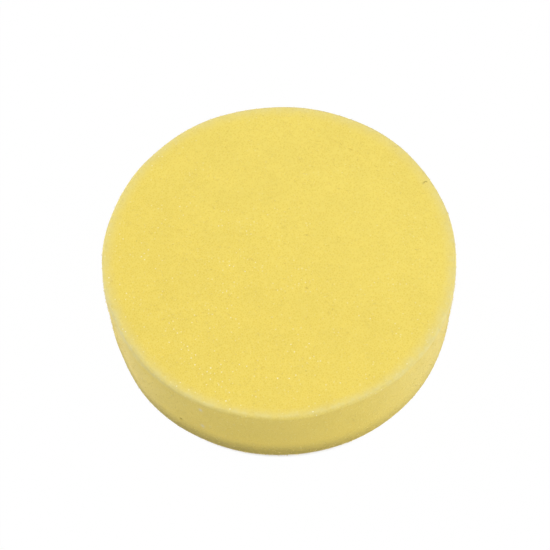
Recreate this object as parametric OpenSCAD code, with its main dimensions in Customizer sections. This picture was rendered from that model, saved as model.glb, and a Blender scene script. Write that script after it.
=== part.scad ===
// Foam polishing pad with a hook-and-loop backing, lying flat on its loop face.
// The origin is the centre of the loop face, and +Z points out of the working face.
// Each layer stands on the one below it: pile, ground cloth, glue film, foam.

/* [Foam disc] */
// Diameter of the foam
foam_d = 80; // [50:1:200]
// Thickness of the foam, from its glued side to its working face
foam_t = 23; // [12:0.1:50]
// Rounding where the working face meets the side wall
face_edge_r = 0.9; // [0.4:0.1:4]
// Rounding where the side wall meets the glued side
base_edge_r = 2; // [0.3:0.1:4]

/* [Hook-and-loop backing] */
// How far the backing stops short of the foam's side wall
backing_inset = 1.5; // [0.4:0.1:5]
// Thickness of the hot-melt film between foam and cloth
glue_t = 0.25; // [0.1:0.05:1]
// How far the film stops short of the cloth's cut edge
glue_setback = 0.3; // [0.1:0.05:1]
// Thickness of the knitted ground cloth
cloth_t = 0.45; // [0.3:0.05:1.5]
// Height of the loop pile that stands out of the cloth
pile_t = 1.3; // [0.6:0.1:3]
// Rounding of the pile's rim, where the outermost loops lean outwards
pile_edge_r = 0.5; // [0.1:0.05:0.55]

/* [Hidden] */
$fn = 96;

foam_r = foam_d / 2;
backing_r = foam_r - backing_inset;
glue_r = backing_r - glue_setback;

// The underside of each layer, counted up from the loop face
cloth_z = pile_t;
glue_z = cloth_z + cloth_t;
foam_z = glue_z + glue_t;

foam_colour = [0.95, 0.86, 0.43];
glue_colour = [0.93, 0.91, 0.82];
cloth_colour = [0.86, 0.86, 0.84];
pile_colour = [0.92, 0.92, 0.91];

// Half of a disc's section, from the axis outwards and from z = 0 up to z = t,
// with a rounding at its lower rim
module low_rounded_section(r, t, edge_r) {
    square([r - edge_r, t]);
    translate([0, edge_r])
        square([r, t - edge_r]);
    translate([r - edge_r, edge_r])
        circle(r = edge_r);
}

// The same section with a rounding of its own at either rim
module rounded_section(r, t, low_r, high_r) {
    intersection() {
        low_rounded_section(r, t, low_r);
        translate([0, t])
            mirror([0, 1])
                low_rounded_section(r, t, high_r);
    }
}

// Open-cell foam, the part that carries the polish
module foam_disc() {
    color(foam_colour)
        translate([0, 0, foam_z])
            rotate_extrude()
                rounded_section(foam_r, foam_t, base_edge_r, face_edge_r);
}

// Hot-melt film that bonds the cloth to the foam
module glue_film() {
    color(glue_colour)
        translate([0, 0, glue_z])
            cylinder(r = glue_r, h = glue_t);
}

// Knitted ground cloth of the loop fabric
module backing_cloth() {
    color(cloth_colour)
        translate([0, 0, cloth_z])
            cylinder(r = backing_r, h = cloth_t);
}

// The loops as one body, as high as they stand when nothing presses on them
module loop_pile() {
    color(pile_colour)
        rotate_extrude()
            low_rounded_section(backing_r, pile_t, pile_edge_r);
}

foam_disc();
glue_film();
backing_cloth();
loop_pile();
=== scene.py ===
import bpy
import math
import numpy as np
from mathutils import Matrix, Vector


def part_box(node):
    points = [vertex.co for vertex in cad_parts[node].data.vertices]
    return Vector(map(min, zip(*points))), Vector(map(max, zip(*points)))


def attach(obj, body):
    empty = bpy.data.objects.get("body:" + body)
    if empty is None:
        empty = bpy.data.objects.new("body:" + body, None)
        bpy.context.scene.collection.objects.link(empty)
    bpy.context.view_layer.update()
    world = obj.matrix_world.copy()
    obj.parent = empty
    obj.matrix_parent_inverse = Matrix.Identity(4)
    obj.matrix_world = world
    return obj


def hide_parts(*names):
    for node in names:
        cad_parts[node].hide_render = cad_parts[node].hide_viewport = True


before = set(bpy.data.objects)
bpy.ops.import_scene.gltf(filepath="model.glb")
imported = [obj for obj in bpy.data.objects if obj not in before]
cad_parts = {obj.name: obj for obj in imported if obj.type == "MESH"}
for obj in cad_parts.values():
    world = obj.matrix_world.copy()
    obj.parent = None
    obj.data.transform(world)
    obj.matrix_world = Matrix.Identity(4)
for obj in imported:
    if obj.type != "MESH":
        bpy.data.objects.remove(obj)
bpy.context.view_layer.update()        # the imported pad: foam, glue film, ground cloth and loop pile

mm = 0.001
foamLow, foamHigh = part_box("foam_disc")
clothLow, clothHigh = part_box("backing_cloth")
pileLow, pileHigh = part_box("loop_pile")
foamRadius = foamHigh.x          # every disc is centred on the axis
backingRadius = clothHigh.x
cloudEdge = (0.3, 0.7)           # most of a noise texture's values lie between these


def flatRadius(node, height):
    # how far from the axis the flat side of a CAD disc reaches at this height
    points = [p.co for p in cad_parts[node].data.vertices]
    return max(math.hypot(p.x, p.y) for p in points if abs(p.z - height) < 0.01 * mm)


def addNode(tree, kind, **settings):
    node = tree.nodes.new(kind)
    for key, value in settings.items():
        setattr(node, key, value)
    return node


def feed(tree, socket, value):
    # a socket takes a link from another socket, or a plain value
    if isinstance(value, bpy.types.NodeSocket):
        tree.links.new(value, socket)
    else:
        socket.default_value = value


def maths(tree, operation, *values):
    node = addNode(tree, "ShaderNodeMath", operation=operation)
    for socket, value in zip(node.inputs, values):
        feed(tree, socket, value)
    return node.outputs[0]


def times(tree, *values):
    # the product of two or more values
    product = values[0]
    for value in values[1:]:
        product = maths(tree, "MULTIPLY", product, value)
    return product


def scaled(tree, vector, factor):
    node = addNode(tree, "ShaderNodeVectorMath", operation="SCALE")
    feed(tree, node.inputs[0], vector)
    feed(tree, node.inputs["Scale"], factor)
    return node.outputs["Vector"]


def ramp(tree, value, low, high, lowOut=0.0, highOut=1.0, smooth=True):
    node = addNode(tree, "ShaderNodeMapRange")
    node.interpolation_type = "SMOOTHSTEP" if smooth else "LINEAR"
    feed(tree, node.inputs["Value"], value)
    ends = {"From Min": low, "From Max": high, "To Min": lowOut, "To Max": highOut}
    for name, number in ends.items():
        feed(tree, node.inputs[name], number)
    return node.outputs["Result"]


def cells(tree, vector, size, feature="F1"):
    node = addNode(tree, "ShaderNodeTexVoronoi", voronoi_dimensions="3D", feature=feature)
    feed(tree, node.inputs["Vector"], vector)
    feed(tree, node.inputs["Scale"], maths(tree, "DIVIDE", 1.0, size))
    return node


def cloud(tree, vector, size, detail=2.0):
    node = addNode(tree, "ShaderNodeTexNoise", noise_dimensions="3D")
    feed(tree, node.inputs["Vector"], vector)
    feed(tree, node.inputs["Scale"], maths(tree, "DIVIDE", 1.0, size))
    feed(tree, node.inputs["Detail"], detail)
    return node.outputs[0]


def patches(tree, place, size, low, high):
    # a soft cloud that runs from low to high in patches of this size
    return ramp(tree, cloud(tree, place, size), *cloudEdge, low, high)


def mixColour(tree, factor, a, b, blend="MIX"):
    node = addNode(tree, "ShaderNodeMix", data_type="RGBA", blend_type=blend)
    feed(tree, node.inputs[0], factor)
    feed(tree, node.inputs[6], a)
    feed(tree, node.inputs[7], b)
    return node.outputs[2]


def startMaterial(name):
    material = bpy.data.materials.new(name)
    material.use_nodes = True
    return material, material.node_tree, material.node_tree.nodes["Principled BSDF"]


def plainFinish(name, look):
    # two tones that run into each other in patches, for the finishes with nothing more to them
    material, tree, shader = startMaterial(name)
    place = addNode(tree, "ShaderNodeTexCoord").outputs["Object"]
    tone = ramp(tree, cloud(tree, place, look["patch"], look["detail"]), *look["patchEdge"])
    feed(tree, shader.inputs["Base Color"], mixColour(tree, tone, look["dark"], look["light"]))
    shader.inputs["Roughness"].default_value = look["roughness"]
    shader.inputs["Sheen Weight"].default_value = look["sheen"]
    return material


def strandAlong(tree, path, radius):
    # a closed strand along the path, with three sides, which is enough at this size
    section = addNode(tree, "GeometryNodeCurvePrimitiveCircle", mode="RADIUS")
    feed(tree, section.inputs["Resolution"], 3)
    feed(tree, section.inputs["Radius"], radius)
    strand = addNode(tree, "GeometryNodeCurveToMesh")
    feed(tree, strand.inputs["Curve"], path)
    feed(tree, strand.inputs["Profile Curve"], section.outputs[0])
    feed(tree, strand.inputs["Fill Caps"], True)
    return strand.outputs[0]


def randomVector(tree, low, high, seed):
    node = addNode(tree, "FunctionNodeRandomValue", data_type="FLOAT_VECTOR")
    feed(tree, node.inputs[0], low)
    feed(tree, node.inputs[1], high)
    feed(tree, node.inputs["Seed"], seed)
    return node.outputs[0]


def randomSize(tree, low, high, seed):
    node = addNode(tree, "FunctionNodeRandomValue", data_type="FLOAT")
    feed(tree, node.inputs[2], low)
    feed(tree, node.inputs[3], high)
    feed(tree, node.inputs["Seed"], seed)
    return node.outputs[1]


def scatter(tree, points, strand, rotation, scale):
    node = addNode(tree, "GeometryNodeInstanceOnPoints")
    feed(tree, node.inputs["Points"], points)
    feed(tree, node.inputs["Instance"], strand)
    feed(tree, node.inputs["Rotation"], rotation)
    feed(tree, node.inputs["Scale"], scale)
    return node.outputs[0]


def startTree(name, numbers):
    tree = bpy.data.node_groups.new(name, "GeometryNodeTree")
    tree.interface.new_socket("Geometry", in_out="INPUT", socket_type="NodeSocketGeometry")
    for label, value in numbers.items():
        kind = "NodeSocketInt" if isinstance(value, int) else "NodeSocketFloat"
        tree.interface.new_socket(label, in_out="INPUT", socket_type=kind)
    tree.interface.new_socket("Material", in_out="INPUT", socket_type="NodeSocketMaterial")
    tree.interface.new_socket("Geometry", in_out="OUTPUT", socket_type="NodeSocketGeometry")
    return tree, addNode(tree, "NodeGroupInput").outputs, addNode(tree, "NodeGroupOutput").inputs


def endTree(tree, geometry, given, result):
    # instances become real mesh, and the finish is set last
    real = addNode(tree, "GeometryNodeRealizeInstances")
    feed(tree, real.inputs[0], geometry)
    finish = addNode(tree, "GeometryNodeSetMaterial")
    feed(tree, finish.inputs["Geometry"], real.outputs[0])
    feed(tree, finish.inputs["Material"], given["Material"])
    feed(tree, result[0], finish.outputs[0])


def growPiece(name, tree, baseMesh, numbers, material):
    # runs the tree on the base mesh and keeps the result as a plain mesh
    holder = bpy.data.objects.new(name + "Base", baseMesh)
    bpy.context.scene.collection.objects.link(holder)
    modifier = holder.modifiers.new(name, "NODES")
    modifier.node_group = tree
    wanted = dict(numbers, Material=material)
    for item in tree.interface.items_tree:
        if item.in_out == "INPUT" and item.name in wanted:
            modifier[item.identifier] = wanted[item.name]
    depsgraph = bpy.context.evaluated_depsgraph_get()
    mesh = bpy.data.meshes.new_from_object(holder.evaluated_get(depsgraph), depsgraph=depsgraph)
    mesh.name = name
    holder.modifiers.remove(modifier)
    bpy.data.objects.remove(holder)
    piece = bpy.data.objects.new(name, mesh)
    bpy.context.scene.collection.objects.link(piece)
    print(name, len(mesh.vertices), "points,", sum(len(p.vertices) - 2 for p in mesh.polygons), "triangles")
    return piece


def meshFrom(name, points, faces, smooth=True):
    mesh = bpy.data.meshes.new(name)
    mesh.from_pydata(points, [], faces)
    mesh.polygons.foreach_set("use_smooth", [smooth] * len(mesh.polygons))
    mesh.update()
    return mesh


def addNumbers(mesh, name, values):
    mesh.attributes.new(name, "FLOAT", "POINT").data.foreach_set("value", np.asarray(values, np.float32))


def roundGrid(n, radius):
    # a square grid of n by n cells laid out as a disc, its rim in equal steps from -45 degrees
    u, v = np.meshgrid(np.linspace(-1, 1, n + 1), np.linspace(-1, 1, n + 1), indexing="ij")
    wide = np.abs(u) >= np.abs(v)
    reach = np.where(wide, u, v)
    safe = np.where(reach == 0, 1, reach)
    angle = np.where(wide, np.pi / 4 * v / safe, np.pi / 2 - np.pi / 4 * u / safe)
    x = (radius * reach * np.cos(angle)).ravel()
    y = (radius * reach * np.sin(angle)).ravel()
    index = np.arange((n + 1) ** 2).reshape(n + 1, n + 1)
    quads = np.stack([index[:-1, :-1], index[1:, :-1], index[1:, 1:], index[:-1, 1:]], -1).reshape(-1, 4)
    rim = np.concatenate([index[n, :n], index[n:0:-1, n], index[0, n:0:-1], index[:n, 0]])
    return x, y, quads, rim


shot = {
    "elevation": math.radians(62.35),
    "distance": 360 * mm,
    "roll": math.radians(2.3),       # the camera leans a little to its right
    "lens": 101.95,
    "sensor": 36,
    "nearest": 0.01,
    "farthest": 20,
    "aimAside": -1.05 * mm,          # the pad sits a little right of the middle
    "aimUp": 0.62 * mm,
    "aimHeight": 13.5 * mm,
}


def makeCamera():
    data = bpy.data.cameras.new("camera")
    data.lens = shot["lens"]
    data.sensor_width = shot["sensor"]
    data.clip_start = shot["nearest"]
    data.clip_end = shot["farthest"]
    camera = bpy.data.objects.new("camera", data)
    bpy.context.scene.collection.objects.link(camera)
    e = shot["elevation"]
    back = Vector((0, -math.cos(e), math.sin(e)))
    up = Vector((0, math.sin(e), math.cos(e)))
    aim = Vector((shot["aimAside"], 0, shot["aimHeight"])) + up * shot["aimUp"]
    turn = (-back).to_track_quat("-Z", "Y").to_matrix().to_4x4()
    lean = Matrix.Rotation(-shot["roll"], 4, "Z")
    camera.matrix_world = Matrix.Translation(aim + back * shot["distance"]) @ turn @ lean
    bpy.context.scene.camera = camera
    print("camera done")


studio = {
    "sky": 0.05,
    "skyColour": (1.0, 0.99, 0.975, 1),
    "lampSize": 0.8,
    "lampDistance": 0.9,
    "aimHeight": 12 * mm,
    # a ring of soft lamps: degrees round from the pad's right, degrees up, watts
    "lamps": {
        "topLamp": (298, 72, 5.0),
        "backLeftLamp": (135, 26, 4.5),
        "leftLamp": (182, 26, 2.35),
        "rightLamp": (5, 26, 3.1),
        "frontRightLamp": (320, 26, 1.65),
    },
    "underPower": 0.9,
    "underSize": 0.12,
    "underDepth": 0.35,
}


def areaLamp(name, power, size, place):
    data = bpy.data.lights.new(name, "AREA")
    data.shape = "DISK"
    data.size = size
    data.energy = power
    lamp = bpy.data.objects.new(name, data)
    bpy.context.scene.collection.objects.link(lamp)
    lamp.location = place
    aim = Vector((0, 0, studio["aimHeight"]))
    lamp.rotation_euler = (aim - Vector(place)).to_track_quat("-Z", "Y").to_euler()


def makeLight():
    world = bpy.data.worlds.new("studio")
    world.use_nodes = True
    nodes, links = world.node_tree.nodes, world.node_tree.links
    background = nodes["Background"]
    background.inputs["Color"].default_value = studio["skyColour"]
    # the backdrop looks white to the lens, and lights the pad only a little
    seen = nodes.new("ShaderNodeLightPath")
    strength = nodes.new("ShaderNodeMapRange")
    strength.inputs["To Min"].default_value = studio["sky"]
    strength.inputs["To Max"].default_value = 1.0
    links.new(seen.outputs["Is Camera Ray"], strength.inputs["Value"])
    links.new(strength.outputs["Result"], background.inputs["Strength"])
    bpy.context.scene.world = world
    bpy.context.scene.view_settings.view_transform = "Standard"
    for name, (around, rise, watts) in studio["lamps"].items():
        a, e = math.radians(around), math.radians(rise)
        place = Vector((math.cos(a) * math.cos(e), math.sin(a) * math.cos(e), math.sin(e)))
        areaLamp(name, watts, studio["lampSize"], place * studio["lampDistance"])
    areaLamp("underLamp", studio["underPower"], studio["underSize"], (0, 0, -studio["underDepth"]))
    print("light done")


floorLook = {
    "half": 3.0,
    "colour": (0.93, 0.93, 0.925, 1),
    "roughness": 0.9,
    "shine": 0.2,
    "washNear": 0.0,            # how much of the shadow is washed out right at the pad
    "washFar": 0.99,
    "nearRadius": 38.4 * mm,
    "farRadius": 39.1 * mm,
}


def makeFloor():
    h = floorLook["half"]
    mesh = bpy.data.meshes.new("floor")
    mesh.from_pydata([(-h, -h, 0), (h, -h, 0), (h, h, 0), (-h, h, 0)], [], [(0, 1, 2, 3)])
    floor = bpy.data.objects.new("floor", mesh)
    bpy.context.scene.collection.objects.link(floor)
    material, tree, shader = startMaterial("studioFloor")
    shader.inputs["Base Color"].default_value = floorLook["colour"]
    shader.inputs["Roughness"].default_value = floorLook["roughness"]
    shader.inputs["Specular IOR Level"].default_value = floorLook["shine"]
    # a lit table: the pad's shadow on it is washed out, apart from the line where the two meet
    glow = addNode(tree, "ShaderNodeEmission")
    place = addNode(tree, "ShaderNodeTexCoord").outputs["Object"]
    away = addNode(tree, "ShaderNodeVectorMath", operation="LENGTH")
    feed(tree, away.inputs[0], place)
    wash = ramp(tree, away.outputs["Value"], floorLook["nearRadius"], floorLook["farRadius"],
                floorLook["washNear"], floorLook["washFar"])
    seen = addNode(tree, "ShaderNodeLightPath").outputs["Is Camera Ray"]
    table = addNode(tree, "ShaderNodeMixShader")
    feed(tree, table.inputs[0], times(tree, wash, seen))
    feed(tree, table.inputs[1], shader.outputs[0])
    feed(tree, table.inputs[2], glow.outputs[0])
    # from below the floor lets the view through, so the underside can be looked at
    clear = addNode(tree, "ShaderNodeBsdfTransparent")
    mix = addNode(tree, "ShaderNodeMixShader")
    feed(tree, mix.inputs[0], addNode(tree, "ShaderNodeNewGeometry").outputs["Backfacing"])
    feed(tree, mix.inputs[1], table.outputs[0])
    feed(tree, mix.inputs[2], clear.outputs[0])
    feed(tree, tree.nodes["Material Output"].inputs["Surface"], mix.outputs[0])
    mesh.materials.append(material)
    floor.visible_shadow = False
    print("floor done")


foamLook = {
    "cells": 400,                # grid cells across the working face
    "waist": 0.12 * mm,          # the wall draws in a little at half height
    "skin": 0.05 * mm,           # kept inside the true size, for the relief
    "step": 0.18 * mm,           # spacing of the rings down the wall
    "jitter": 0.3,
    "seed": 11,
    "underStep": 2.2 * mm,       # spacing of the rings on the glued side
    "underFewest": 100,          # the rings stop once they have this few points
    # two slow waves round the wall: how many, where they start, how far out, and their height
    "sway": (5, 0.6, 0.10 * mm, 9 * mm),
    "ripple": (11, 2.1, 0.06 * mm, 7 * mm),
    # where the cut wanders: degrees round, width in degrees, how far out
    "wander": [
        (191, 6, 0.15 * mm),
        (202, 7, -0.20 * mm),
        (226, 12, 0.22 * mm),
        (288, 9, -0.15 * mm),
        (134, 7, -0.15 * mm),
        (56, 8, 0.12 * mm),
        (104, 13, -0.18 * mm),
    ],
    "wanderMost": 0.25 * mm,
    "wanderFrom": 0.80,          # it starts this far out from the axis, as a share of the radius
    "heldHeight": 3 * mm,        # below this height it shrinks towards the share held at the glued side
    "heldShare": 0.35,
    # where the working edge is rounder: degrees round, width in degrees, how deep
    "rounder": [
        (206, 24, 0.55 * mm),
        (150, 22, 0.08 * mm),
        (336, 22, 0.22 * mm),
    ],
    "rounderReach": 2.6 * mm,
    "rimSheenHeight": 1.0 * mm,       # how far the painted sheen, a paler band along the rim, runs down the wall and in over the face
    "rimSheenReach": 3.6 * mm,
    "rimSheenFade": 1.5,
    # where it runs further down the wall: degrees round, width in degrees, how much further
    "rimSheenLonger": [
        (198, 26, 4.5),
        (342, 24, 4.0),
    ],
    "rimSheenFaint": (273, 42, 0.25),   # where it is fainter and narrower: degrees round, width, how much fainter
    "rimSheenNarrow": 0.50,             # how much narrower
    "rimSheenInset": 0.9 * mm,          # and how far it moves in over the face
    # where the whole height of the wall is painted paler, a painted sheen at the sides: degrees round, width
    # in degrees, how much
    "wallSheen": [
        (212, 22, 0.20),
        (331, 22, 0.28),
    ],
    "footShadeHeight": 8.5 * mm,      # how far up the wall its foot is painted darker, a painted shade where the floor shadows it
    "footShadeDeepest": (252, 48),       # where round it is darkest: degrees round, width in degrees
    "footShadeLeast": 0.35,           # and how much of that is left elsewhere
    "wallGrain": 0.45,           # how rough the wall is, where the face is 1
    "footHeight": 0.8 * mm,      # the wall's grain fades out below this height
    # small marks, on the face by x and y, on the wall by degrees round and height
    "marks": {
        "nickCentre": (34.45 * mm, 16.85 * mm),
        "nickRadius": 0.55 * mm,
        "nickFrom": 60,
        "nickTo": 180,
        "nickWidth": 0.11 * mm,
        "nickDepth": 0.15 * mm,
        "drawn": 0.5,            # the marks on the wall are twice as tall as wide
        "pit": (234.3, 9.2 * mm),
        "pitWidth": 0.24 * mm,
        "pitDepth": 0.50 * mm,
        "lint": [(242.7, 21.1 * mm), (242.5, 11.8 * mm)],
        "lintWidth": 0.42 * mm,
    },
    "relief": {
        "Cell Size": 0.5 * mm,
        "Cell Depth": 0.06 * mm,
        "Drift Size": 6.0 * mm,
        "Drift Depth": 0.08 * mm,
    },
    "finish": {
        "face": (0.828, 0.665, 0.129, 1),
        # painted light: the face's tone at the front left, deeper than at the back right
        "faceFrontShade": (0.795, 0.615, 0.103, 1),
        # pore floors painted darker and struts paler: painted shade and light on the cell grain
        "pore": (0.765, 0.587, 0.097, 1),
        "strut": (0.832, 0.675, 0.152, 1),
        # painted sheen along the rim
        "rimSheen": (0.755, 0.655, 0.268, 1),
        # painted shade at the foot of the wall
        "footShade": (0.440, 0.345, 0.070, 1),
        # painted shade in the nick, the pit and the deepest pores
        "holeShade": (0.400, 0.310, 0.060, 1),
        "lint": (0.740, 0.660, 0.480, 1),
        # painted glints
        "glint": (0.950, 0.910, 0.620, 1),
        "poreSize": 0.5 * mm,
        "poreWidth": (0.1, 0.7),     # widths are shares of a cell
        "poreStrength": 0.8,
        "strutWidth": (0.02, 0.22),
        "strutStrength": 0.6,
        "mottleSize": 7 * mm,
        "mottleDetail": 3.0,
        "mottle": (0.985, 1.015),
        "rimSheenStrength": 0.95,
        "rimSheenPatch": 1.5 * mm,
        "rimSheenUneven": (0.6, 1.1),
        "footShadeSpeck": 0.9 * mm,
        "footShadeUneven": (0.86, 1.14),
        "footShadeFull": 0.75,
        "lintStrength": 0.8,
        "glintSize": 0.8 * mm,
        "glintWidth": (0.10, 0.26),
        "glintShare": 0.42,
        "glintLeast": 0.4,
        "glintPatch": 8 * mm,        # the glints lie in loose clusters of this size
        "glintPatchEdge": (0.40, 0.62),
        "glintBetween": 0.25,        # how much is left between the clusters
        "glintFar": 0.3,             # and at the back right of the face
        "deepShadeShare": 0.05,
        "deepShadeStrength": 0.5,
        "slantWay": (0.6, 0.8, 0.0),
        "slantReach": 30 * mm,       # painted light: the face is painted deeper in colour at the front left and paler at the back right, and has more painted glints at the front left
        "roughness": 0.85,
        "shine": 0.25,
        "sheen": 0.22,
        "sheenSpread": 0.35,
        "sheenTint": (1.0, 0.96, 0.82, 1),
        "bump": 0.25,
        "bumpDepth": 0.06 * mm,
    },
}


def foamSection():
    # distance from the axis and height of each ring, from the face's rim down to the glued side
    look = foamLook
    top, low = foamHigh.z - look["skin"], foamLow.z
    radius = foamRadius - look["skin"]
    edge = foamRadius - flatRadius("foam_disc", foamHigh.z)
    base = foamRadius - flatRadius("foam_disc", foamLow.z)
    rings = []
    turns = round(edge * math.pi / 2 / look["step"])
    for k in range(turns + 1):
        a = math.pi / 2 * (1 - k / turns)
        rings.append((radius - edge + edge * math.cos(a), top - edge + edge * math.sin(a)))
    wallHigh, wallLow = top - edge, low + base
    steps = round((wallHigh - wallLow) / look["step"])
    for k in range(1, steps):
        t = k / steps
        rings.append((radius - look["waist"] * 4 * t * (1 - t), wallHigh + (wallLow - wallHigh) * t))
    turns = round(base * math.pi / 2 / look["step"])
    for k in range(turns + 1):
        a = -math.pi / 2 * k / turns
        rings.append((radius - base + base * math.cos(a), low + base + base * math.sin(a)))
    return rings


def turnedAway(angle, centre, width):
    # 1 at the centre's angle, fading out over the width, all in degrees
    away = (angle - centre + 180) % 360 - 180
    return np.exp(-(away / width) ** 2)


def cutUnevenly(x, y, z):
    # the side is a little out of round, and the working edge is rounder in places
    look = foamLook
    angle = np.degrees(np.arctan2(y, x)) % 360
    reach = np.hypot(x, y)
    turns, start, far, tall = look["sway"]
    out = far * np.sin(np.radians(angle) * turns + start) * np.cos(z / tall)
    turns, start, far, tall = look["ripple"]
    out += far * np.sin(np.radians(angle) * turns + start + z / tall)
    for centre, width, far in look["wander"]:
        out += far * turnedAway(angle, centre, width)
    begin = look["wanderFrom"]
    weight = np.clip((reach / foamRadius - begin) / (1 - begin), 0, 1) ** 2
    held = np.clip((z - foamLow.z) / look["heldHeight"], 0, 1)
    share = look["heldShare"] + (1 - look["heldShare"]) * held
    out = np.minimum(out, look["wanderMost"]) * weight * share
    corner = np.hypot(reach - foamRadius, z - foamHigh.z)
    rub = sum(depth * turnedAway(angle, centre, width) for centre, width, depth in look["rounder"])
    rub = rub * np.exp(-(corner / look["rounderReach"]) ** 2)
    grow = 1 + (out - rub) / np.maximum(reach, mm)
    return x * grow, y * grow, z - rub * np.clip(reach / foamRadius, 0, 1) ** 8


def distanceToNick(x, y):
    # the nick is a short arc cut into the face
    marks = foamLook["marks"]
    cx, cy = marks["nickCentre"]
    start, end = math.radians(marks["nickFrom"]), math.radians(marks["nickTo"])
    along = np.clip(np.arctan2(y - cy, x - cx) % math.tau, start, end)
    r = marks["nickRadius"]
    return np.hypot(x - cx - r * np.cos(along), y - cy - r * np.sin(along))


def distanceOnWall(x, y, z, around, height):
    a = math.radians(around)
    across = np.hypot(x - foamRadius * math.cos(a), y - foamRadius * math.sin(a))
    return np.hypot(across, (z - height) * foamLook["marks"]["drawn"])


def foamBase():
    look = foamLook
    draw = np.random.default_rng(look["seed"])
    n = look["cells"]
    rings = foamSection()
    x, y, quads, rim = roundGrid(n, rings[0][0])
    around = 4 * n
    gap = rings[0][0] / n * look["jitter"]
    inner = np.ones(len(x), bool)
    inner[rim] = False
    x = x + inner * draw.uniform(-gap, gap, len(x))
    y = y + inner * draw.uniform(-gap, gap, len(y))
    xs, ys, zs = [x], [y], [np.full(len(x), rings[0][1])]
    faces = [quads]
    angles = np.radians(-45 + 90 * np.arange(around) / n)
    above, count = rim, len(x)
    for r, z in rings[1:]:
        a = angles + draw.uniform(-1, 1, around) * look["jitter"] * 0.5 * math.tau / around
        h = z + draw.uniform(-1, 1, around) * look["jitter"] * 0.5 * look["step"]
        xs.append(r * np.cos(a))
        ys.append(r * np.sin(a))
        zs.append(np.clip(h, foamLow.z, rings[0][1]))
        below = count + np.arange(around)
        faces.append(np.stack([above, below, np.roll(below, -1), np.roll(above, -1)], -1))
        above, count = below, count + around
    # under the foam each ring has half the points of the one outside it, then a coarse grid closes it
    triangles = []
    reach, size = rings[-1][0], around
    while size > look["underFewest"]:
        size //= 2
        reach -= look["underStep"]
        a = np.radians(-45 + 360 * np.arange(size) / size)
        xs.append(reach * np.cos(a))
        ys.append(reach * np.sin(a))
        zs.append(np.full(size, foamLow.z))
        below = count + np.arange(size)
        left, middle, right = above[0::2], above[1::2], np.roll(above, -2)[0::2]
        nextBelow = np.roll(below, -1)
        triangles.append(np.stack([left, below, middle], -1))
        triangles.append(np.stack([middle, below, nextBelow], -1))
        triangles.append(np.stack([middle, nextBelow, right], -1))
        above, count = below, count + size
    gridX, gridY, gridQuads, gridRim = roundGrid(size // 4, reach)
    where = np.empty(len(gridX), int)
    where[gridRim] = above
    free = np.setdiff1d(np.arange(len(gridX)), gridRim)
    where[free] = count + np.arange(len(free))
    xs.append(gridX[free])
    ys.append(gridY[free])
    zs.append(np.full(len(free), foamLow.z))
    faces.append(where[gridQuads][:, ::-1])
    x, y, z = np.concatenate(xs), np.concatenate(ys), np.concatenate(zs)
    allFaces = np.concatenate(faces).tolist() + np.concatenate(triangles).tolist()
    return foamNumbers(x, y, z, allFaces)


def foamNumbers(x, y, z, faces):
    # the numbers that the relief and the finish go by, taken where each point lies before it is moved
    look, marks = foamLook, foamLook["marks"]
    reach = np.hypot(x, y)
    face = foamHigh.z - look["skin"]
    onWall = np.clip((face - z) / mm, 0, 1)
    angle = np.degrees(np.arctan2(y, x))
    # painted sheen along the rim, longer at the sides and fainter at the front
    further = 1 + sum(more * turnedAway(angle, around, width) for around, width, more in look["rimSheenLonger"])
    around, width, less = look["rimSheenFaint"]
    front = turnedAway(angle, around, width)
    rimSheenReach = look["rimSheenReach"] * (1 - look["rimSheenNarrow"] * front)
    down = np.clip((face - z) / (look["rimSheenHeight"] * further), 0, 1)
    inwards = np.clip(np.abs(foamRadius - reach - look["rimSheenInset"] * front) / rimSheenReach, 0, 1)
    rimSheen = (1 - down ** 2) * (1 - inwards) ** look["rimSheenFade"] * (1 - less * front)
    # painted sheen down the whole height of the wall at the sides
    sideSheen = sum(share * turnedAway(angle, around, width) for around, width, share in look["wallSheen"])
    foot = np.clip((z - foamLow.z) / look["footHeight"], 0, 1)
    grain = (1 - (1 - look["wallGrain"]) * onWall) * foot
    # painted shade at the foot of the wall, darkest round the front
    dark = look["footShadeLeast"] + (1 - look["footShadeLeast"]) * turnedAway(angle, *look["footShadeDeepest"])
    footShade = np.clip(1 - (z - foamLow.z) / look["footShadeHeight"], 0, 1) * dark
    nick = np.exp(-(distanceToNick(x, y) / marks["nickWidth"]) ** 2) * (z > face - mm)
    pit = np.exp(-(distanceOnWall(x, y, z, *marks["pit"]) / marks["pitWidth"]) ** 2)
    lint = sum(np.exp(-(distanceOnWall(x, y, z, *spot) / marks["lintWidth"]) ** 2) for spot in marks["lint"])
    x, y, z = cutUnevenly(x, y, z)
    z = z - nick * marks["nickDepth"]
    x = x * (1 - pit * marks["pitDepth"] / foamRadius)
    y = y * (1 - pit * marks["pitDepth"] / foamRadius)
    mesh = meshFrom("foamBase", np.stack([x, y, z], -1), faces)
    # the painted sheen of the rim and of the wall's sides, kept in one attribute
    addNumbers(mesh, "rimSheen", np.maximum(rimSheen, sideSheen * onWall))
    addNumbers(mesh, "grain", grain)
    addNumbers(mesh, "footShade", footShade)
    addNumbers(mesh, "holeShade", np.maximum(nick, pit))
    addNumbers(mesh, "lint", lint)
    return mesh


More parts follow.
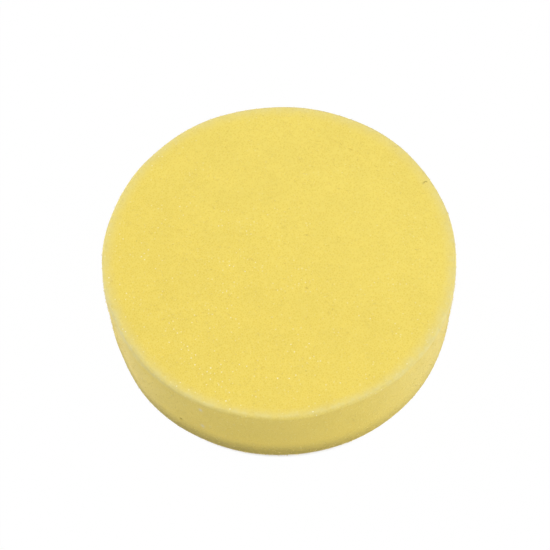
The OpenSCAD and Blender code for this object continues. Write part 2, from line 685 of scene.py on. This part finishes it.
def foamTree():
    tree, given, result = startTree("foamRelief", foamLook["relief"])
    place = addNode(tree, "GeometryNodeInputPosition").outputs[0]
    keep = addNode(tree, "GeometryNodeStoreNamedAttribute", data_type="FLOAT_VECTOR", domain="POINT")
    feed(tree, keep.inputs["Geometry"], given["Geometry"])
    feed(tree, keep.inputs["Name"], "restPlace")
    feed(tree, keep.inputs["Value"], place)
    grain = addNode(tree, "GeometryNodeInputNamedAttribute", data_type="FLOAT")
    feed(tree, grain.inputs["Name"], "grain")
    pores = cells(tree, place, given["Cell Size"]).outputs["Distance"]
    rise = times(tree, maths(tree, "SUBTRACT", pores, 0.5), given["Cell Depth"])
    drift = maths(tree, "SUBTRACT", cloud(tree, place, given["Drift Size"]), 0.5)
    rise = maths(tree, "MULTIPLY_ADD", drift, given["Drift Depth"], rise)
    rise = times(tree, rise, grain.outputs[0])
    push = scaled(tree, addNode(tree, "GeometryNodeInputNormal").outputs[0], rise)
    move = addNode(tree, "GeometryNodeSetPosition")
    feed(tree, move.inputs["Geometry"], keep.outputs[0])
    feed(tree, move.inputs["Offset"], push)
    endTree(tree, move.outputs[0], given, result)
    return tree


def foamNumber(tree, name):
    return addNode(tree, "ShaderNodeAttribute", attribute_name=name).outputs["Fac"]


def foamMaterial():
    look = foamLook["finish"]
    material, tree, shader = startMaterial("yellowFoam")
    place = addNode(tree, "ShaderNodeAttribute", attribute_name="restPlace").outputs["Vector"]
    # 0 at the front left of the face, 1 at its back right, for the painted light that makes the back right
    # paler
    paintedLightSlant = addNode(tree, "ShaderNodeVectorMath", operation="DOT_PRODUCT")
    feed(tree, paintedLightSlant.inputs[0], place)
    feed(tree, paintedLightSlant.inputs[1], look["slantWay"])
    paintedLightSlant = ramp(tree, paintedLightSlant.outputs["Value"], -look["slantReach"], look["slantReach"])
    pore = cells(tree, place, look["poreSize"])
    edge = cells(tree, place, look["poreSize"], "DISTANCE_TO_EDGE").outputs["Distance"]
    strut = ramp(tree, edge, *look["strutWidth"], 1.0, 0.0)
    depth = ramp(tree, pore.outputs["Distance"], *look["poreWidth"], 1.0, 0.0)
    # painted shade and light on the cell grain: the pore floors are painted darker and the struts paler
    colour = mixColour(tree, paintedLightSlant, look["faceFrontShade"], look["face"])
    colour = mixColour(tree, times(tree, depth, look["poreStrength"]), colour, look["pore"])
    colour = mixColour(tree, times(tree, strut, look["strutStrength"]), colour, look["strut"])
    mottle = cloud(tree, place, look["mottleSize"], look["mottleDetail"])
    mottle = ramp(tree, mottle, *cloudEdge, *look["mottle"])
    shade = addNode(tree, "ShaderNodeCombineColor")
    for socket in shade.inputs[:3]:
        feed(tree, socket, mottle)
    colour = mixColour(tree, 1.0, colour, shade.outputs[0], "MULTIPLY")
    # painted sheen along the rim and down the sides of the wall
    uneven = patches(tree, place, look["rimSheenPatch"], *look["rimSheenUneven"])
    rimSheen = times(tree, foamNumber(tree, "rimSheen"), look["rimSheenStrength"], uneven)
    colour = mixColour(tree, rimSheen, colour, look["rimSheen"])
    # painted shade: the foot of the wall is painted darker, in fine specks
    uneven = patches(tree, place, look["footShadeSpeck"], *look["footShadeUneven"])
    footShade = ramp(tree, times(tree, foamNumber(tree, "footShade"), uneven), 0.0, look["footShadeFull"])
    colour = mixColour(tree, footShade, colour, look["footShade"])
    # painted glints: scattered cell windows painted paler, as if they caught the light
    speck = cells(tree, place, look["glintSize"])
    pick = addNode(tree, "ShaderNodeSeparateColor")
    feed(tree, pick.inputs[0], speck.outputs["Color"])
    chosen = maths(tree, "LESS_THAN", pick.outputs[0], look["glintShare"])
    near = ramp(tree, speck.outputs["Distance"], *look["glintWidth"], 1.0, 0.0)
    near = times(tree, near, ramp(tree, pick.outputs[1], 0.0, 1.0, look["glintLeast"], 1.0))
    patch = cloud(tree, place, look["glintPatch"])
    patch = ramp(tree, patch, *look["glintPatchEdge"], look["glintBetween"], 1.0)
    thin = ramp(tree, paintedLightSlant, 0.0, 1.0, 1.0, look["glintFar"], smooth=False)
    near = times(tree, near, times(tree, patch, thin))
    glint = times(tree, chosen, near, foamNumber(tree, "grain"))
    colour = mixColour(tree, glint, colour, look["glint"])
    # and a few deep pores, painted dark as painted shade
    deepShade = maths(tree, "GREATER_THAN", pick.outputs[0], 1 - look["deepShadeShare"])
    deepShade = times(tree, deepShade, near, look["deepShadeStrength"])
    colour = mixColour(tree, deepShade, colour, look["holeShade"])
    lint = times(tree, foamNumber(tree, "lint"), look["lintStrength"])
    colour = mixColour(tree, lint, colour, look["lint"])
    # the nick and the pit are painted dark, a painted shade in their hollows
    colour = mixColour(tree, foamNumber(tree, "holeShade"), colour, look["holeShade"])
    feed(tree, shader.inputs["Base Color"], colour)
    shader.inputs["Roughness"].default_value = look["roughness"]
    shader.inputs["Specular IOR Level"].default_value = look["shine"]
    shader.inputs["Sheen Weight"].default_value = look["sheen"]
    shader.inputs["Sheen Roughness"].default_value = look["sheenSpread"]
    shader.inputs["Sheen Tint"].default_value = look["sheenTint"]
    bump = addNode(tree, "ShaderNodeBump")
    feed(tree, bump.inputs["Height"], maths(tree, "SUBTRACT", 1.0, depth))
    feed(tree, bump.inputs["Strength"], look["bump"])
    feed(tree, bump.inputs["Distance"], look["bumpDepth"])
    feed(tree, shader.inputs["Normal"], bump.outputs[0])
    return material


cutCellLook = {
    "inputs": {
        "Spacing": 1.30 * mm,
        "Bow": 0.16 * mm,       # radius of each bowed strut
        "Strut Radius": 0.028 * mm,
        "Seed": 5,
    },
    "grainLeast": 0.4,          # struts stand only where the foam is at least this rough
    "bends": 5,
    "sweep": math.radians(200),
    "tiltMost": 0.7,
    "size": (0.55, 1.25),
    "finish": {
        # the lighter of the two tones is partly a painted highlight, so that the struts show as glints
        "dark": (0.81, 0.645, 0.14, 1),
        "light": (0.90, 0.78, 0.32, 1),
        "patch": 1.2 * mm,
        "patchEdge": (0.35, 0.65),
        "detail": 1.0,
        "roughness": 0.5,
        "sheen": 0,
    },
}


def cutCellTree():
    look = cutCellLook
    tree, given, result = startTree("cutCells", look["inputs"])
    grain = addNode(tree, "GeometryNodeInputNamedAttribute", data_type="FLOAT")
    feed(tree, grain.inputs["Name"], "grain")
    spread = addNode(tree, "GeometryNodeDistributePointsOnFaces", distribute_method="RANDOM")
    feed(tree, spread.inputs["Mesh"], given["Geometry"])
    feed(tree, spread.inputs["Selection"], maths(tree, "GREATER_THAN", grain.outputs[0], look["grainLeast"]))
    area = times(tree, given["Spacing"], given["Spacing"])
    feed(tree, spread.inputs["Density"], maths(tree, "DIVIDE", 1.0, area))
    feed(tree, spread.inputs["Seed"], given["Seed"])
    bow = addNode(tree, "GeometryNodeCurveArc", mode="RADIUS")
    feed(tree, bow.inputs["Resolution"], look["bends"])
    feed(tree, bow.inputs["Radius"], given["Bow"])
    feed(tree, bow.inputs["Sweep Angle"], look["sweep"])
    stand = addNode(tree, "GeometryNodeTransform")
    feed(tree, stand.inputs["Geometry"], bow.outputs[0])
    feed(tree, stand.inputs["Rotation"], (math.radians(90), 0, 0))
    strut = strandAlong(tree, stand.outputs[0], given["Strut Radius"])
    tilt = look["tiltMost"]
    twist = randomVector(tree, (-tilt, -tilt, 0.0), (tilt, tilt, math.tau), given["Seed"])
    turn = addNode(tree, "FunctionNodeRotateRotation", rotation_space="LOCAL")
    feed(tree, turn.inputs[0], spread.outputs["Rotation"])
    feed(tree, turn.inputs[1], twist)
    size = randomSize(tree, *look["size"], given["Seed"])
    struts = scatter(tree, spread.outputs["Points"], strut, turn.outputs[0], size)
    endTree(tree, struts, given, result)
    return tree


clothLook = {
    "cells": 100,
    "lift": 0.02 * mm,          # kept inside the true size, for the cut edge
    "wale": 0.95 * mm,          # spacing of the knitted ribs, and of the stitches along them
    "course": 0.90 * mm,
    "stitchShare": 0.5,         # how high a stitch stands, next to a rib
    "bump": 0.6,
    "bumpDepth": 0.10 * mm,
    "dark": (0.58, 0.58, 0.56, 1),
    "light": (0.74, 0.74, 0.72, 1),
    "patch": 0.5 * mm,
    "patchEdge": cloudEdge,
    "detail": 2.0,
    "roughness": 0.9,
    "sheen": 0,
}


def clothMaterial():
    look = clothLook
    material = plainFinish("knitGround", look)
    tree = material.node_tree
    axes = addNode(tree, "ShaderNodeSeparateXYZ")
    feed(tree, axes.inputs[0], addNode(tree, "ShaderNodeTexCoord").outputs["Object"])
    ribs = maths(tree, "COSINE", times(tree, axes.outputs[0], math.tau / look["wale"]))
    stitches = maths(tree, "COSINE", times(tree, axes.outputs[1], math.tau / look["course"]))
    bump = addNode(tree, "ShaderNodeBump")
    feed(tree, bump.inputs["Height"], maths(tree, "MULTIPLY_ADD", stitches, look["stitchShare"], ribs))
    feed(tree, bump.inputs["Strength"], look["bump"])
    feed(tree, bump.inputs["Distance"], look["bumpDepth"])
    feed(tree, tree.nodes["Principled BSDF"].inputs["Normal"], bump.outputs[0])
    return material


def makeCloth():
    look = clothLook
    x, y, quads, rim = roundGrid(look["cells"], backingRadius - look["lift"])
    points = np.concatenate([
        np.stack([x, y, np.full(len(x), clothHigh.z)], -1),
        np.stack([x, y, np.full(len(x), clothLow.z + look["lift"])], -1),
    ])
    under = rim + len(x)
    sides = np.stack([rim, under, np.roll(under, -1), np.roll(rim, -1)], -1)
    faces = np.concatenate([quads, quads[:, ::-1] + len(x), sides]).tolist()
    mesh = meshFrom("backingCloth", points, faces, smooth=False)
    mesh.materials.append(clothMaterial())
    piece = bpy.data.objects.new("backingCloth", mesh)
    bpy.context.scene.collection.objects.link(piece)
    return piece


pileLook = {
    "inputs": {
        "Width": 0.42 * mm,     # half the width of a loop
        "Height": 1.25 * mm,
        "Yarn Radius": 0.055 * mm,
        "Stray": 0.30 * mm,     # how far a loop's foot strays from its stitch
        "Seed": 3,
    },
    "rim": 0.6 * mm,            # the outermost stitches stop this far inside the cut edge
    "bends": 6,
    "start": math.radians(-50),
    "sweep": math.radians(280),
    "rise": 1.77,               # height of the bare arc, in its own radii
    "centreShare": 0.40,        # how far its centre lies from the cloth, as a share of the loop's height
    "leanLeast": (-0.9, -0.5, -0.8),
    "leanMost": (0.2, 0.5, 0.8),
    "size": (0.8, 1.1),
    "finish": {
        "dark": (0.74, 0.74, 0.73, 1),
        "light": (0.88, 0.88, 0.87, 1),
        "patch": 1.5 * mm,
        "patchEdge": cloudEdge,
        "detail": 2.0,
        "roughness": 0.6,
        "sheen": 0.3,
    },
}


def pileTree():
    look = pileLook
    tree, given, result = startTree("loopPile", look["inputs"])
    way = randomVector(tree, (-1.0, -1.0, 0.0), (1.0, 1.0, 0.0), maths(tree, "ADD", given["Seed"], 1))
    feet = addNode(tree, "GeometryNodeSetPosition")
    feed(tree, feet.inputs["Geometry"], given["Geometry"])
    feed(tree, feet.inputs["Offset"], scaled(tree, way, given["Stray"]))
    bow = addNode(tree, "GeometryNodeCurveArc", mode="RADIUS")
    feed(tree, bow.inputs["Resolution"], look["bends"])
    feed(tree, bow.inputs["Radius"], given["Width"])
    feed(tree, bow.inputs["Start Angle"], look["start"])
    feed(tree, bow.inputs["Sweep Angle"], look["sweep"])
    # the arc is stretched as tall as the loop, with its feet sunk into the cloth
    tall = maths(tree, "DIVIDE", given["Height"], times(tree, given["Width"], look["rise"]))
    stretch = addNode(tree, "ShaderNodeCombineXYZ")
    feed(tree, stretch.inputs[0], 1.0)
    feed(tree, stretch.inputs[1], tall)
    feed(tree, stretch.inputs[2], 1.0)
    lift = addNode(tree, "ShaderNodeCombineXYZ")
    feed(tree, lift.inputs[1], times(tree, given["Height"], look["centreShare"]))
    shape = addNode(tree, "GeometryNodeTransform")
    feed(tree, shape.inputs["Geometry"], bow.outputs[0])
    feed(tree, shape.inputs["Scale"], stretch.outputs[0])
    feed(tree, shape.inputs["Translation"], lift.outputs[0])
    stand = addNode(tree, "GeometryNodeTransform")
    feed(tree, stand.inputs["Geometry"], shape.outputs[0])
    feed(tree, stand.inputs["Rotation"], (math.radians(-90), 0, 0))
    yarn = strandAlong(tree, stand.outputs[0], given["Yarn Radius"])
    lean = randomVector(tree, look["leanLeast"], look["leanMost"], given["Seed"])
    size = randomSize(tree, *look["size"], given["Seed"])
    loops = scatter(tree, feet.outputs[0], yarn, lean, size)
    endTree(tree, loops, given, result)
    return tree


def pileBase():
    # one point for each stitch of the knit, every other rib half a stitch along
    wale, course = clothLook["wale"], clothLook["course"]
    reach = backingRadius - pileLook["rim"]
    ribs, stitches = int(reach / wale), int(reach / course)
    x, y = np.meshgrid(np.arange(-ribs, ribs + 1.0), np.arange(-stitches, stitches + 1.0))
    y = (y + 0.5 * (x % 2)) * course
    x = x * wale
    kept = np.hypot(x, y) < reach
    return meshFrom("pileBase", np.stack([x[kept], y[kept], np.full(kept.sum(), pileHigh.z)], -1), [])


def makePile():
    pile = growPiece("loopPile", pileTree(), pileBase(), pileLook["inputs"],
                     plainFinish("nylonLoop", pileLook["finish"]))
    places = np.empty(len(pile.data.vertices) * 3, np.float32)
    pile.data.vertices.foreach_get("co", places)
    places[2::3] = np.clip(places[2::3], pileLow.z, None)     # the pad's weight flattens the tallest loops
    pile.data.vertices.foreach_set("co", places)
    return pile


glueLook = {
    "dark": (0.80, 0.74, 0.50, 1),
    "light": (0.88, 0.84, 0.66, 1),
    "patch": 0.8 * mm,
    "patchEdge": cloudEdge,
    "detail": 2.0,
    "roughness": 0.35,
    "sheen": 0,
}


def makeBacking():
    cloth, pile = makeCloth(), makePile()
    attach(cloth, "root")
    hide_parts("backing_cloth")
    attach(pile, "root")
    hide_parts("loop_pile")
    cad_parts["glue_film"].material_slots[0].material = plainFinish("hotMeltFilm", glueLook)
    print("backing done")


def makeFoam():
    foam = growPiece("foamDisc", foamTree(), foamBase(), foamLook["relief"], foamMaterial())
    struts = growPiece("cutCells", cutCellTree(), foam.data, cutCellLook["inputs"],
                       plainFinish("foamStrut", cutCellLook["finish"]))
    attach(foam, "root")
    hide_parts("foam_disc")
    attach(struts, "root")
    print("foam done")


makeCamera()
makeLight()
makeFloor()
makeFoam()
makeBacking()
